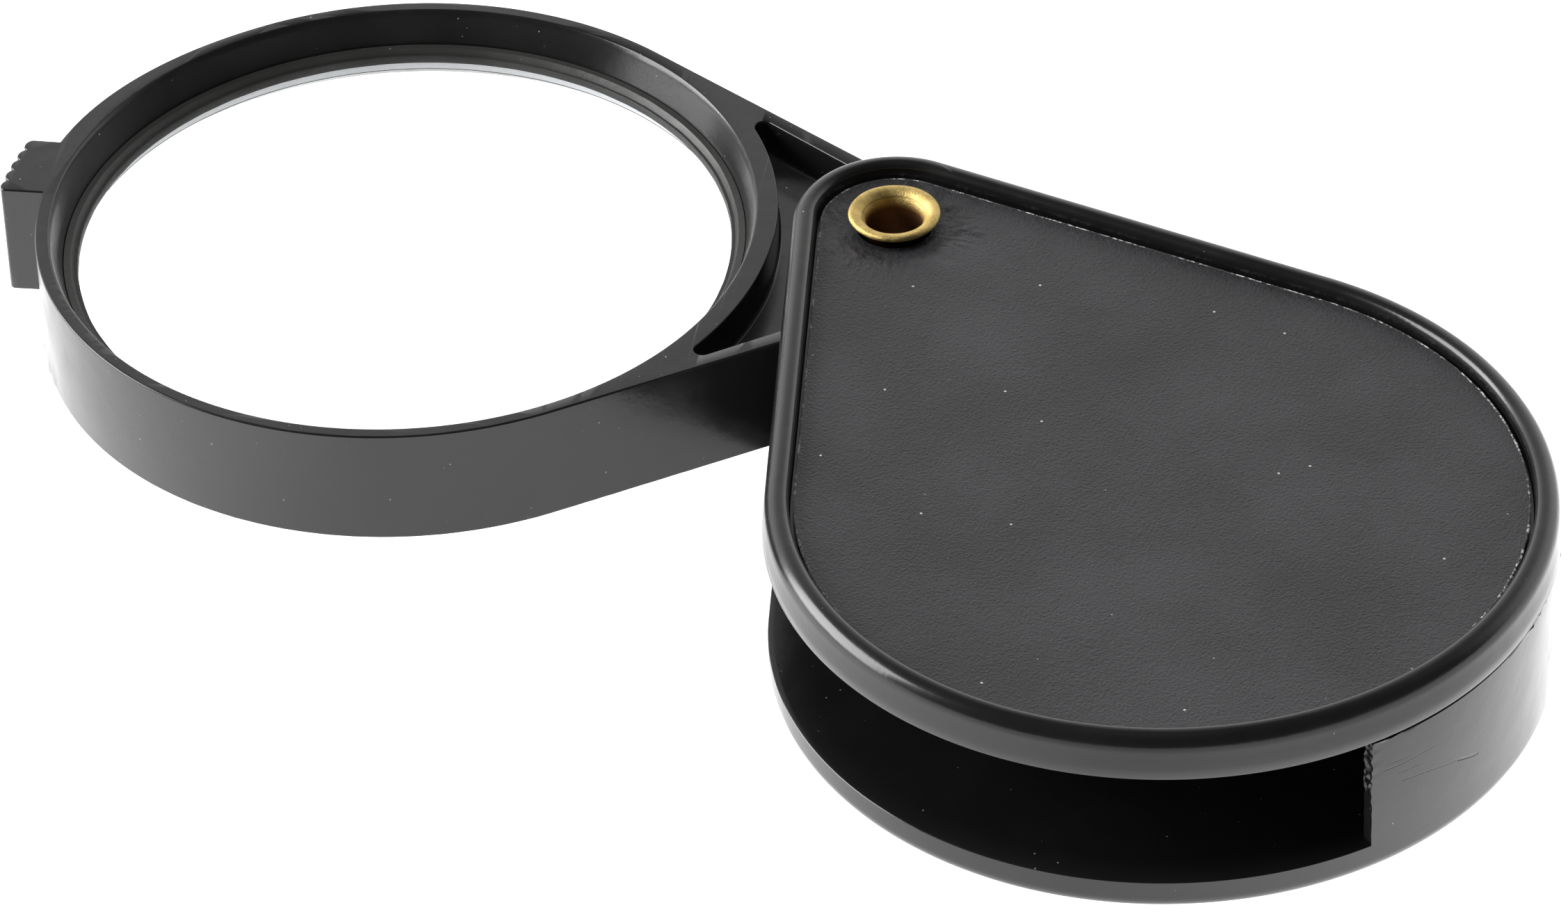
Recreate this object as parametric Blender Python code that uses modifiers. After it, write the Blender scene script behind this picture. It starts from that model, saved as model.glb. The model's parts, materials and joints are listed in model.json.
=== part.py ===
"""Folding pocket magnifier: a deep lens frame that swings out of a teardrop case on a brass eyelet.

The part stands on the rolled rim of its case with the lens frame swung open. +Z is up and lies
along the hinge, and +X runs from the hinge to the big end of the case. The origin is on the
table, in the middle of the open part's footprint.
"""
import math

import bmesh
import bpy
from mathutils import Matrix, Vector

MM = 0.001
GAP = 0.30 * MM              # air kept between two pieces that touch on the real object
OVERSHOOT = 1.0 * MM         # how far a cutter runs past the face it opens
SINK = 0.02 * MM             # keeps two joined outlines from sharing a face

# Fineness of the meshes.
ARC_STEP = math.radians(5)   # longest step along an outline's arcs
TURNED_STEPS = 72
SMALL_TURNED_STEPS = 40
SHARP_ANGLE = math.radians(32)
WELD = 0.001 * MM

# Case outline: a small circle on the hinge and a big one at the far end, joined by tangents.
CASE_LENGTH = 39.05 * MM     # hinge to the centre of the big end
COVER_BIG_R = 28.9 * MM
COVER_HUB_R = 7.95 * MM
SHELL_INSET = 0.15 * MM      # the lower shell is this much smaller all round

# Case heights above the table.
CASE_TOP_Z = 15.65 * MM
SLOT_FLOOR_Z = 2.65 * MM
SLOT_ROOF_Z = 12.40 * MM
ROOF_THICKNESS = 1.45 * MM
FLOOR_THICKNESS = 0.85 * MM

# The rolled rim's section, the same above and below.
RIM_ROUND = 1.0 * MM         # outer rounding, across
RIM_ROUND_RISE = 1.25 * MM   # outer rounding, in height
RIM_CREST = 0.45 * MM        # narrow flat that the case rests on
RIM_INNER = 0.55 * MM        # inner rounding, across
RIM_INNER_FALL = 0.70 * MM   # inner rounding, in height
RIM_WALL_LEAN = 0.03 * MM    # of the recess's side
RIM_ROUND_STEPS = 6
RIM_INNER_STEPS = 4

# Side wall of the lower shell.
WALL_HUB_THICKNESS = 0.50 * MM
WALL_BIG_THICKNESS = 1.00 * MM
WALL_START = 0.5 * MM        # from the hub's tangent point, along the straight
WALL_INSET = 0.03 * MM       # from the shell's outer side, so that the two never share a face
WALL_ROOT = 0.4 * MM         # how deep the wall's solid runs into the floor
WALL_END_ANGLE = math.radians(0.0)

# Inlays.
INLAY_THICKNESS = 0.40 * MM

# Lens frame.
FRAME_LENGTH = 38.05 * MM    # hinge to the lens centre
FRAME_RING_R = 28.1 * MM
FRAME_HUB_R = 6.8 * MM
FRAME_CLEARANCE = 0.24 * MM  # to the slot's floor and roof
ARM_THICKNESS = 1.15 * MM
RING_POCKET_R = 28.7 * MM    # ring wall on the pockets' side
HUB_BOSS_R = 6.0 * MM
BOSS_BLEND = 0.3 * MM        # the boss meets the arms this far from their inner faces
POCKET_TIP_R = 0.7 * MM
WEB_THICKNESS = 3.0 * MM
BEVEL_TOP_R = 27.03 * MM
SEAT_R = 26.15 * MM          # rebate for the glass and its retaining ring
SEAT_TOP_DROP = 2.72 * MM    # top face down to the bevel's lower edge
SHOULDER_R = 25.4 * MM
SHOULDER_GAP = 0.32 * MM     # lens edge down to the shoulder under it
SHOULDER_DEPTH = 0.3 * MM
BEVEL_BOTTOM_R = 27.03 * MM

# Thumb tab on the far end of the ring: angles and radii about the lens centre.
TAB_END_R = 31.80 * MM       # over the ribs, on the flat front side
TAB_END_TAPER = 0.24 * MM    # smaller by this much on the far side
TAB_FAR_ANGLE = math.radians(-11.0)
TAB_FOOT_ANGLE = math.radians(-11.8)
TAB_ROOT_DEPTH = 1.0 * MM    # how deep the tab's solid runs into the ring
TAB_RIBS = 5
TAB_RIB_HEIGHT = 0.42 * MM
TAB_RIB_STEPS = 6
SWELL_HEIGHT = 0.75 * MM     # the ring grows toward the tab's far side
SWELL_START_ANGLE = math.radians(-55.0)
SWELL_STEPS = 8

# Lens and its retaining ring.
LENS_R = 25.75 * MM
LENS_EDGE = 3.0 * MM
LENS_EDGE_DROP = 3.83 * MM   # frame's top face down to the lens's edge
LENS_TOP_BULGE = 2.3 * MM
LENS_BOTTOM_BULGE = 0.7 * MM
LENS_RINGS = 10
RETAINER_OUTER_R = 25.82 * MM
RETAINER_TOP_INNER_R = 25.6 * MM
RETAINER_INNER_R = 25.05 * MM
RETAINER_LIP = 0.3 * MM
RETAINER_LIFT = 0.45 * MM    # over the lens edge, clear of the glass at its inner radius

# Eyelet.
BARREL_R = 2.50 * MM
BARREL_HOLE_R = 2.10 * MM
PIVOT_HOLE_R = 2.80 * MM
FLANGE_R = 3.50 * MM
FLANGE_CREST_R = 3.20 * MM
FLANGE_HEIGHT = 0.75 * MM
FUNNEL_DEPTH = 1.30 * MM     # crest of the flange down to the straight bore
CLINCH_R = 3.30 * MM
CLINCH_HEIGHT = 0.60 * MM
ROLL_STEPS = 8

# Swing of the frame about the hinge, from the case's axis.
OPEN_ANGLE = math.radians(-127.9)

FRAME_BOTTOM_Z = SLOT_FLOOR_Z + FRAME_CLEARANCE
FRAME_TOP_Z = SLOT_ROOF_Z - FRAME_CLEARANCE
FRAME_MID_Z = (FRAME_BOTTOM_Z + FRAME_TOP_Z) / 2
LENS_EDGE_TOP_Z = FRAME_TOP_Z - LENS_EDGE_DROP
LENS_EDGE_BOTTOM_Z = LENS_EDGE_TOP_Z - LENS_EDGE
FLOOR_BOTTOM_Z = SLOT_FLOOR_Z - FLOOR_THICKNESS
ROOF_TOP_Z = SLOT_ROOF_Z + ROOF_THICKNESS
RIM_WIDTH = RIM_ROUND + RIM_CREST + RIM_INNER + RIM_WALL_LEAN

# The hinge's place, so that the open part's footprint is centred on the origin.
HINGE_X = -(CASE_LENGTH + COVER_BIG_R + FRAME_LENGTH * math.cos(OPEN_ANGLE) - FRAME_RING_R) / 2
HINGE_Y = -(COVER_BIG_R + FRAME_LENGTH * math.sin(OPEN_ANGLE) - FRAME_RING_R) / 2

# Base colour, roughness and metallic of each material.
FINISHES = {
    "black_plastic": ((0.022, 0.022, 0.023, 1), 0.28, 0.0),
    "frame_plastic": ((0.020, 0.020, 0.021, 1), 0.32, 0.0),
    "retainer_plastic": ((0.030, 0.028, 0.028, 1), 0.45, 0.0),
    "grained_sheet": ((0.045, 0.045, 0.047, 1), 0.70, 0.0),
    "brass": ((0.60, 0.42, 0.13, 1), 0.32, 1.0),
    "clear_glass": ((0.95, 0.97, 0.96, 0.25), 0.03, 0.0),
}


# ---------------------------------------------------------------- scene and materials

def clear_scene():
    for obj in list(bpy.data.objects):
        bpy.data.objects.remove(obj, do_unlink=True)


def new_collection(name):
    collection = bpy.data.collections.new(name)
    bpy.context.scene.collection.children.link(collection)
    return collection


def material(piece, finish):
    """A Principled material of the piece's own."""
    colour, roughness, metallic = FINISHES[finish]
    mat = bpy.data.materials.new(piece + "_" + finish)
    mat.use_nodes = True
    shader = mat.node_tree.nodes["Principled BSDF"]
    shader.inputs["Base Color"].default_value = colour
    shader.inputs["Roughness"].default_value = roughness
    shader.inputs["Metallic"].default_value = metallic
    shader.inputs["Alpha"].default_value = colour[3]
    mat.diffuse_color = colour
    return mat


def add_object(name, mesh, collection, parent=None, finish=None, location=(0, 0, 0)):
    obj = bpy.data.objects.new(name, mesh)
    collection.objects.link(obj)
    obj.parent = parent
    obj.location = location
    if finish:
        mesh.materials.append(material(name, finish))
    return obj


def shade(obj):
    obj.data.shade_smooth()
    obj.data.set_sharp_from_angle(angle=SHARP_ANGLE)


# ---------------------------------------------------------------- outlines

def polar(centre, radius, angle):
    return centre + radius * Vector((math.cos(angle), math.sin(angle)))


def arc(centre, radius, start, end):
    """Points on an arc from start to end, both ends included."""
    count = max(2, math.ceil(abs(end - start) / ARC_STEP) + 1)
    return [polar(centre, radius, start + (end - start) * i / (count - 1)) for i in range(count)]


def mirrored(points):
    """The same points on the other side of the X axis, in the opposite order."""
    return [Vector((p.x, -p.y)) for p in reversed(points)]


def tangent_angle(hub_r, big_r, length):
    """Angle of the normal at which the outer tangent leaves both circles."""
    return math.pi / 2 + math.asin((big_r - hub_r) / length)


def teardrop(hub_r, big_r, length):
    """Closed outline round a small circle at the origin and a big one at +X, anticlockwise."""
    t = tangent_angle(hub_r, big_r, length)
    far_half = arc(Vector((length, 0)), big_r, 0, t)
    hub = arc(Vector((0, 0)), hub_r, t, 2 * math.pi - t)
    return mirrored(far_half[1:]) + far_half + hub


def outline_mesh(name, points, bottom, top):
    """A filled outline pulled up from bottom to top: the solid of a flat 2D curve."""
    curve = bpy.data.curves.new(name, "CURVE")
    curve.dimensions = "2D"
    curve.fill_mode = "BOTH"
    curve.extrude = (top - bottom) / 2
    spline = curve.splines.new("POLY")
    spline.points.add(len(points) - 1)
    for point, place in zip(spline.points, points):
        point.co = (place.x, place.y, 0, 1)
    spline.use_cyclic_u = True
    guide = bpy.data.objects.new(name, curve)
    bpy.context.scene.collection.objects.link(guide)
    bpy.context.view_layer.update()
    evaluated = guide.evaluated_get(bpy.context.evaluated_depsgraph_get())
    mesh = bpy.data.meshes.new_from_object(evaluated)
    bpy.data.objects.remove(guide, do_unlink=True)
    bpy.data.curves.remove(curve)
    mesh.transform(Matrix.Translation((0, 0, (top + bottom) / 2)))
    bm = bmesh.new()
    bm.from_mesh(mesh)
    bmesh.ops.remove_doubles(bm, verts=bm.verts, dist=WELD)
    bmesh.ops.dissolve_limit(bm, angle_limit=math.radians(0.1), verts=bm.verts, edges=bm.edges)
    bmesh.ops.recalc_face_normals(bm, faces=bm.faces)
    bm.to_mesh(mesh)
    bm.free()
    return mesh


# ---------------------------------------------------------------- turned shapes

def turn(obj, steps):
    """Turn the object's profile about its own Z axis."""
    modifier = obj.modifiers.new("turn", "SCREW")
    modifier.steps = steps
    modifier.render_steps = steps
    modifier.use_merge_vertices = True
    modifier.merge_threshold = WELD
    modifier.use_smooth_shade = True


def profile_mesh(name, profile, closed):
    """(radius, height) points joined by edges, running down the outer side of the shape."""
    count = len(profile)
    edges = [(i, i + 1) for i in range(count - 1)]
    if closed:
        edges.append((count - 1, 0))
    mesh = bpy.data.meshes.new(name)
    mesh.from_pydata([(r, 0, z) for r, z in profile], edges, [])
    return mesh


def roll(centre_r, half_width, base_z, height, start, end):
    """(radius, height) points on part of an ellipse, for the rolled ends of the eyelet."""
    points = []
    for i in range(ROLL_STEPS + 1):
        a = start + (end - start) * i / ROLL_STEPS
        points.append((centre_r + half_width * math.cos(a), base_z + height * math.sin(a)))
    return points


# ---------------------------------------------------------------- booleans

def boolean(target, tool, operation):
    modifier = target.modifiers.new(tool.name, "BOOLEAN")
    modifier.object = tool
    modifier.operation = operation
    modifier.solver = "EXACT"


def add_cutter(name, mesh, cutters, parent=None, location=(0, 0, 0)):
    cutter = add_object(name, mesh, cutters, parent, None, location)
    cutter.hide_render = True
    cutter.display_type = "WIRE"
    return cutter


def add_hole(target, cutters, bottom, top):
    """Drill the hinge's hole along Z through the target."""
    profile = [(0, top), (PIVOT_HOLE_R, top), (PIVOT_HOLE_R, bottom), (0, bottom)]
    mesh = profile_mesh(target.name + "_hole", profile, False)
    hole = add_cutter(mesh.name, mesh, cutters, target.parent)
    turn(hole, SMALL_TURNED_STEPS)
    boolean(target, hole, "DIFFERENCE")


# ---------------------------------------------------------------- case

def quarter_steps(across, height, count, rising):
    """A quarter ellipse as (inset, rise) steps: rising to a crest, or falling away from it."""
    places = []
    for i in range(count + 1):
        a = math.pi / 2 * i / count
        if rising:
            places.append((across * (1 - math.cos(a)), height * math.sin(a)))
        else:
            places.append((across * math.sin(a), height * (math.cos(a) - 1)))
    return [(b[0] - a[0], b[1] - a[1]) for a, b in zip(places[:-1], places[1:])]


def rim_steps():
    """The rolled rim's section, from the outer side over to the recess."""
    steps = quarter_steps(RIM_ROUND, RIM_ROUND_RISE, RIM_ROUND_STEPS, True)
    steps.append((RIM_CREST, 0.0))
    return steps + quarter_steps(RIM_INNER, RIM_INNER_FALL, RIM_INNER_STEPS, False)


def rimmed_plate(name, outline, side_height, recess_depth, flat_z, direction):
    """A plate with one flat side at flat_z and a rolled rim round a recess on the other.

    direction is 1 for a rim that rises and -1 for one that hangs down. The outline's face is
    pulled out and then inset step by step, so every ring of the rim stays parallel to it.
    """
    bm = bmesh.new()
    face = bm.faces.new([bm.verts.new((p.x, p.y, flat_z)) for p in outline])
    pulled = bmesh.ops.extrude_face_region(bm, geom=[face])["geom"]
    top = [g for g in pulled if isinstance(g, bmesh.types.BMFace)][0]

    def lift(rise):
        for vert in top.verts:
            vert.co.z += direction * rise

    lift(side_height)
    last_step = (RIM_WALL_LEAN, RIM_INNER_FALL - recess_depth)
    for inset, rise in rim_steps() + [last_step]:
        bmesh.ops.inset_region(bm, faces=[top], thickness=inset, use_even_offset=True)
        lift(rise)
    bmesh.ops.recalc_face_normals(bm, faces=bm.faces)
    mesh = bpy.data.meshes.new(name)
    bm.to_mesh(mesh)
    bm.free()
    return mesh


def case_outline(inset):
    return teardrop(COVER_HUB_R - inset, COVER_BIG_R - inset, CASE_LENGTH)


def build_top_cover(collection, cutters, hinge):
    side = CASE_TOP_Z - SLOT_ROOF_Z - RIM_ROUND_RISE
    mesh = rimmed_plate("case_top_cover", case_outline(0), side,
                        CASE_TOP_Z - ROOF_TOP_Z, SLOT_ROOF_Z, 1)
    cover = add_object("case_top_cover", mesh, collection, hinge, "black_plastic")
    add_hole(cover, cutters, SLOT_ROOF_Z - OVERSHOOT, CASE_TOP_Z)
    shade(cover)


def wall_outline():
    """Plan of the side wall: the far straight side and the big end, with a thinner start."""
    outer_hub = COVER_HUB_R - SHELL_INSET - WALL_INSET
    outer_big = COVER_BIG_R - SHELL_INSET - WALL_INSET
    centre = Vector((CASE_LENGTH, 0))

    def side(hub_r, big_r):
        t = tangent_angle(hub_r, big_r, CASE_LENGTH)
        along = Vector((math.sin(t), -math.cos(t)))
        start = polar(Vector((0, 0)), hub_r, t) + WALL_START * along
        return arc(centre, big_r, WALL_END_ANGLE, t) + [start]

    outer = side(outer_hub, outer_big)
    inner = side(outer_hub - WALL_HUB_THICKNESS, outer_big - WALL_BIG_THICKNESS)
    return outer + inner[::-1]


def build_bottom_shell(collection, cutters, hinge):
    side = SLOT_FLOOR_Z - RIM_ROUND_RISE
    mesh = rimmed_plate("case_bottom_shell", case_outline(SHELL_INSET), side,
                        FLOOR_BOTTOM_Z, SLOT_FLOOR_Z, -1)
    shell = add_object("case_bottom_shell", mesh, collection, hinge, "black_plastic")
    wall = outline_mesh("side_wall", wall_outline(), SLOT_FLOOR_Z - WALL_ROOT, SLOT_ROOF_Z - GAP)
    boolean(shell, add_cutter("side_wall", wall, cutters, hinge), "UNION")
    add_hole(shell, cutters, 0.0, SLOT_FLOOR_Z + OVERSHOOT)
    shade(shell)


def build_inlay(name, bottom, inset, collection, cutters, hinge):
    edge = inset + RIM_WIDTH + GAP
    top = bottom + INLAY_THICKNESS
    mesh = outline_mesh(name, case_outline(edge), bottom, top)
    inlay = add_object(name, mesh, collection, hinge, "grained_sheet")
    add_hole(inlay, cutters, bottom - OVERSHOOT, top + OVERSHOOT)
    shade(inlay)


def build_eyelet(collection, hinge):
    """One brass tube that flares out above the case and is clinched over under it."""
    flange_z = ROOF_TOP_Z + GAP + INLAY_THICKNESS + GAP
    clinch_z = FLOOR_BOTTOM_Z - GAP - INLAY_THICKNESS - GAP
    funnel = roll(FLANGE_CREST_R, FLANGE_CREST_R - BARREL_HOLE_R,
                  flange_z + FLANGE_HEIGHT - FUNNEL_DEPTH, FUNNEL_DEPTH, math.pi, math.pi / 2)
    lip = roll(FLANGE_CREST_R, FLANGE_R - FLANGE_CREST_R, flange_z, FLANGE_HEIGHT, math.pi / 2, 0)
    clinch_mid = (CLINCH_R + BARREL_HOLE_R) / 2
    clinch = roll(clinch_mid, CLINCH_R - clinch_mid, clinch_z, CLINCH_HEIGHT, 0, -math.pi)
    profile = funnel + lip[1:] + [(BARREL_R, flange_z), (BARREL_R, clinch_z)] + clinch
    mesh = profile_mesh("pivot_eyelet", profile, True)
    eyelet = add_object("pivot_eyelet", mesh, collection, hinge, "brass")
    turn(eyelet, SMALL_TURNED_STEPS)


# ---------------------------------------------------------------- lens frame

def lens_bore_mesh():
    """Profile of the lens opening: top bevel, rebate, shoulder and bottom bevel."""
    rebate_top = FRAME_TOP_Z - SEAT_TOP_DROP
    shoulder = LENS_EDGE_BOTTOM_Z - SHOULDER_GAP
    bevel_start = shoulder - SHOULDER_DEPTH
    slope = (BEVEL_TOP_R - SEAT_R) / SEAT_TOP_DROP
    bottom_slope = (BEVEL_BOTTOM_R - SHOULDER_R) / (bevel_start - FRAME_BOTTOM_Z)
    profile = [
        (0, FRAME_TOP_Z + OVERSHOOT),
        (BEVEL_TOP_R + slope * OVERSHOOT, FRAME_TOP_Z + OVERSHOOT),
        (SEAT_R, rebate_top),
        (SEAT_R, shoulder),
        (SHOULDER_R, shoulder),
        (SHOULDER_R, bevel_start),
        (BEVEL_BOTTOM_R + bottom_slope * OVERSHOOT, FRAME_BOTTOM_Z - OVERSHOOT),
        (0, FRAME_BOTTOM_Z - OVERSHOOT),
    ]
    return profile_mesh("lens_bore", profile, False)


def crossing_angle(normal, distance, centre, radius, side):
    """Angle on a circle of the point that lies distance from the origin along normal."""
    reach = (distance - normal.dot(centre)) / radius
    return math.atan2(normal.y, normal.x) + side * math.acos(reach)


def pocket_outline():
    """The space between the ring, the two arms and the hub's boss, with rounded tips."""
    centre = Vector((FRAME_LENGTH, 0))
    hub = Vector((0, 0))
    t = tangent_angle(FRAME_HUB_R, FRAME_RING_R, FRAME_LENGTH)
    normal = polar(hub, 1.0, t)
    inner = FRAME_HUB_R - ARM_THICKNESS
    tip_circle = RING_POCKET_R + POCKET_TIP_R
    tip_angle = crossing_angle(normal, inner - POCKET_TIP_R, centre, tip_circle, 1)
    tip = polar(centre, tip_circle, tip_angle)
    boss_angle = crossing_angle(normal, inner - BOSS_BLEND, hub, HUB_BOSS_R, -1)
    upper = arc(tip, POCKET_TIP_R, tip_angle - math.pi, t)[::2]
    upper += arc(hub, HUB_BOSS_R, boss_angle, 0)[:-1]
    ring_side = arc(centre, RING_POCKET_R, 2 * math.pi - tip_angle, tip_angle)[1:-1]
    return upper + [Vector((HUB_BOSS_R, 0))] + mirrored(upper) + ring_side


def tab_outline():
    """Thumb tab: ribbed end, square front side and a swelling of the ring on its far side."""
    centre = Vector((FRAME_LENGTH, 0))
    root = FRAME_RING_R - TAB_ROOT_DEPTH
    points = []
    steps = TAB_RIB_STEPS * TAB_RIBS
    for i in range(steps + 1):
        share = i / steps
        rib = math.sqrt(abs(math.sin(math.pi * TAB_RIBS * share)))
        radius = TAB_END_R - TAB_END_TAPER * share - TAB_RIB_HEIGHT * (1 - rib)
        points.append(polar(centre, radius, TAB_FAR_ANGLE * share))
    for i in range(SWELL_STEPS + 1):
        share = i / SWELL_STEPS
        swell = SWELL_HEIGHT * (1 - share * share * (3 - 2 * share))
        angle = TAB_FOOT_ANGLE + (SWELL_START_ANGLE - TAB_FOOT_ANGLE) * share
        points.append(polar(centre, FRAME_RING_R + swell - SINK, angle))
    return points[::-1] + arc(centre, root, 0, SWELL_START_ANGLE)


def build_lens_frame(collection, cutters, pivot):
    outline = teardrop(FRAME_HUB_R, FRAME_RING_R, FRAME_LENGTH)
    mesh = outline_mesh("lens_frame", outline, FRAME_BOTTOM_Z, FRAME_TOP_Z)
    frame = add_object("lens_frame", mesh, collection, pivot, "frame_plastic")
    tab = outline_mesh("thumb_tab", tab_outline(), FRAME_BOTTOM_Z, FRAME_TOP_Z)
    boolean(frame, add_cutter("thumb_tab", tab, cutters, pivot), "UNION")
    web_top = FRAME_MID_Z + WEB_THICKNESS / 2
    web_bottom = FRAME_MID_Z - WEB_THICKNESS / 2
    for name, low, high in (("upper_pocket", web_top, FRAME_TOP_Z + OVERSHOOT),
                            ("lower_pocket", FRAME_BOTTOM_Z - OVERSHOOT, web_bottom)):
        pocket = outline_mesh(name, pocket_outline(), low, high)
        boolean(frame, add_cutter(name, pocket, cutters, pivot), "DIFFERENCE")
    bore = add_cutter("lens_bore", lens_bore_mesh(), cutters, pivot, (FRAME_LENGTH, 0, 0))
    turn(bore, TURNED_STEPS)
    boolean(frame, bore, "DIFFERENCE")
    add_hole(frame, cutters, FRAME_BOTTOM_Z - OVERSHOOT, FRAME_TOP_Z + OVERSHOOT)
    shade(frame)


def spherical_face(bulge):
    """(radius, height) points from the middle of a spherical face out to its edge at height 0."""
    sphere_r = (LENS_R ** 2 + bulge ** 2) / (2 * bulge)
    points = []
    for i in range(LENS_RINGS + 1):
        r = LENS_R * i / LENS_RINGS
        points.append((r, math.sqrt(sphere_r ** 2 - r ** 2) - sphere_r + bulge))
    return points


def build_lens(collection, pivot):
    """Biconvex glass: a full upper face, a flatter lower one and a straight ground edge."""
    upper = [(r, LENS_EDGE_TOP_Z + z) for r, z in spherical_face(LENS_TOP_BULGE)]
    lower = [(r, LENS_EDGE_BOTTOM_Z - z) for r, z in spherical_face(LENS_BOTTOM_BULGE)]
    mesh = profile_mesh("lens", upper + lower[::-1], False)
    lens = add_object("lens", mesh, collection, pivot, "clear_glass", (FRAME_LENGTH, 0, 0))
    turn(lens, TURNED_STEPS)


def build_retaining_ring(collection, pivot):
    """Thin ring above the glass, its inner side sloped down to the glass."""
    top = FRAME_TOP_Z - SEAT_TOP_DROP
    seat = LENS_EDGE_TOP_Z + RETAINER_LIFT
    profile = [
        (RETAINER_TOP_INNER_R, top),
        (RETAINER_OUTER_R, top),
        (RETAINER_OUTER_R, seat),
        (RETAINER_INNER_R, seat),
        (RETAINER_INNER_R, seat + RETAINER_LIP),
    ]
    mesh = profile_mesh("lens_retaining_ring", profile, True)
    ring = add_object("lens_retaining_ring", mesh, collection, pivot, "retainer_plastic",
                      (FRAME_LENGTH, 0, 0))
    turn(ring, TURNED_STEPS)


# ---------------------------------------------------------------- assembly

def add_empty(name, collection, angle):
    """An empty on the hinge's axis."""
    empty = bpy.data.objects.new(name, None)
    collection.objects.link(empty)
    empty.location = (HINGE_X, HINGE_Y, 0)
    empty.rotation_euler = (0, 0, angle)
    return empty


def main():
    clear_scene()
    parts = new_collection("folding_magnifier")
    cutters = new_collection("cutters")
    hinge = add_empty("case_hinge", parts, 0)
    pivot = add_empty("frame_pivot", parts, OPEN_ANGLE)
    build_bottom_shell(parts, cutters, hinge)
    build_top_cover(parts, cutters, hinge)
    build_inlay("top_inlay", ROOF_TOP_Z + GAP, 0, parts, cutters, hinge)
    build_inlay("bottom_inlay", FLOOR_BOTTOM_Z - GAP - INLAY_THICKNESS, SHELL_INSET,
                parts, cutters, hinge)
    build_eyelet(parts, hinge)
    build_lens_frame(parts, cutters, pivot)
    build_lens(parts, pivot)
    build_retaining_ring(parts, pivot)


main()
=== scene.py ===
"""Looks of the folding pocket magnifier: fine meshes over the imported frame, materials, camera, light.

All lengths below are millimetres in one of two flat frames with the hinge at their origin: the
case's (+X to its big end) and the lens frame's (+X to the lens). place() brings them into the
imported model's frame, in metres. Inset means inwards from the outline of the case's cover.
"""

import json
import math

import bmesh
import bpy
from mathutils import Matrix, Vector, noise


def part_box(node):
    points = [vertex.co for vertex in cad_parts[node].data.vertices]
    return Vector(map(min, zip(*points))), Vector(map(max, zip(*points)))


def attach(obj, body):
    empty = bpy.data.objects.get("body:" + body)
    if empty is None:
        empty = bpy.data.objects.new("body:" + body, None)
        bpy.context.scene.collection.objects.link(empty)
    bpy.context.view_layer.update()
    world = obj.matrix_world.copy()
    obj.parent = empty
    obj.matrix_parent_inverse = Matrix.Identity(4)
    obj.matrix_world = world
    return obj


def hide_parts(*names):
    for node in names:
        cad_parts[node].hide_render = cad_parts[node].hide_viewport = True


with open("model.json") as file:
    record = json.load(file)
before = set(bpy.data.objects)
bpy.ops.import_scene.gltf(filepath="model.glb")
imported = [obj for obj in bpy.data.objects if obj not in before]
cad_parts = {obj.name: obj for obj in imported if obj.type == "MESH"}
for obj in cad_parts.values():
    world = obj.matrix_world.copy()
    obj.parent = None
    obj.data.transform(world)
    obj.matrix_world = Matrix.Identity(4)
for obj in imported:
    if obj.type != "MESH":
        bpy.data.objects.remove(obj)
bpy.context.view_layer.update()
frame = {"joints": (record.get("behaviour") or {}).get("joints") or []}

MM = 0.001
HINGE = Vector(frame["joints"][0]["pos_m"])
OPEN_ANGLE = math.radians(-127.9)


def level(node, corner):
    """Lowest (0) or highest (1) height of a CAD node, in millimetres."""
    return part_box(node)[corner].z / MM


# ---------------------------------------------------------------- sizes

CASE_LENGTH = 39.05          # hinge to the middle of the case's big end
COVER_BIG_R = 28.9
COVER_HUB_R = 7.95
SHELL_INSET = 0.15           # the base stands this much inside the cover's outline
ROOF_Z = level("case_top_cover", 0)
CREST_Z = level("case_top_cover", 1)
SHEET_TOP_Z = level("top_inlay", 1)
SHEET_THICKNESS = SHEET_TOP_Z - level("top_inlay", 0)
LOW_SHEET_Z = level("bottom_inlay", 0)
FLOOR_Z = 2.65
FLOOR_UNDER_Z = 1.8
ROOF_OVER_Z = 13.85
WALL_BIG = 1.0               # the wall's thickness at the big end and at the hub
WALL_HUB = 0.5
PIVOT_HOLE_R = 2.8
RIM_REACH = 2.0              # rim's outer side to the foot of its inner rounding
RIM_ACROSS = 1.1             # width of the rim's outer rounding
RIM_FLAT = 0.1               # width of the rim's flat crest
COVER_RIM_HEIGHT = 1.4       # heights of the rims' outer roundings
BASE_RIM_HEIGHT = 1.25
COVER_LEAN = 0.19            # how far the cover's side draws in from its lip to its rounding
COVER_LIP = 0.19             # how far the cover's lower edge hangs below its roof
SHEET_INSET = 2.3
SHEET_DIMPLE = 0.36          # how far the eyelet presses each sheet in
LOW_SHEET_INSET = 2.45
LOW_SHEET_THICKNESS = 0.4
LOW_SHEET_DIMPLE = 0.15

FRAME_LENGTH = 38.05         # hinge to the lens's axis
RING_R = 28.1
HUB_R = 6.8
FRAME_LOW_Z = level("lens_frame", 0)
FRAME_TOP_Z = level("lens_frame", 1)
MID_Z = (FRAME_LOW_Z + FRAME_TOP_Z) / 2
BEVEL_R = 27.03
SEAT_R = 26.15
SEAT_DROP = 2.72
SEAT_Z = FRAME_TOP_Z - SEAT_DROP
SHOULDER_R = 25.7            # narrower than in the CAD, so that light reaches the glass's side
LOW_BEVEL_R = 27.6           # wider than in the CAD, for the same reason
LENS_R = 25.75
LENS_EDGE = 3.0
LENS_EDGE_DROP = 3.83        # frame's top to the upper end of the lens's straight side
LENS_EDGE_Z = FRAME_TOP_Z - LENS_EDGE_DROP
LENS_TOP_BULGE = 2.3
LENS_BOTTOM_BULGE = 0.7
RETAINER_LOW_Z = LENS_EDGE_Z + 0.45      # where the retaining ring's side rises from the glass
FRAME_SKIRT = 0.19           # how far the frame reaches below its CAD node
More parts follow.
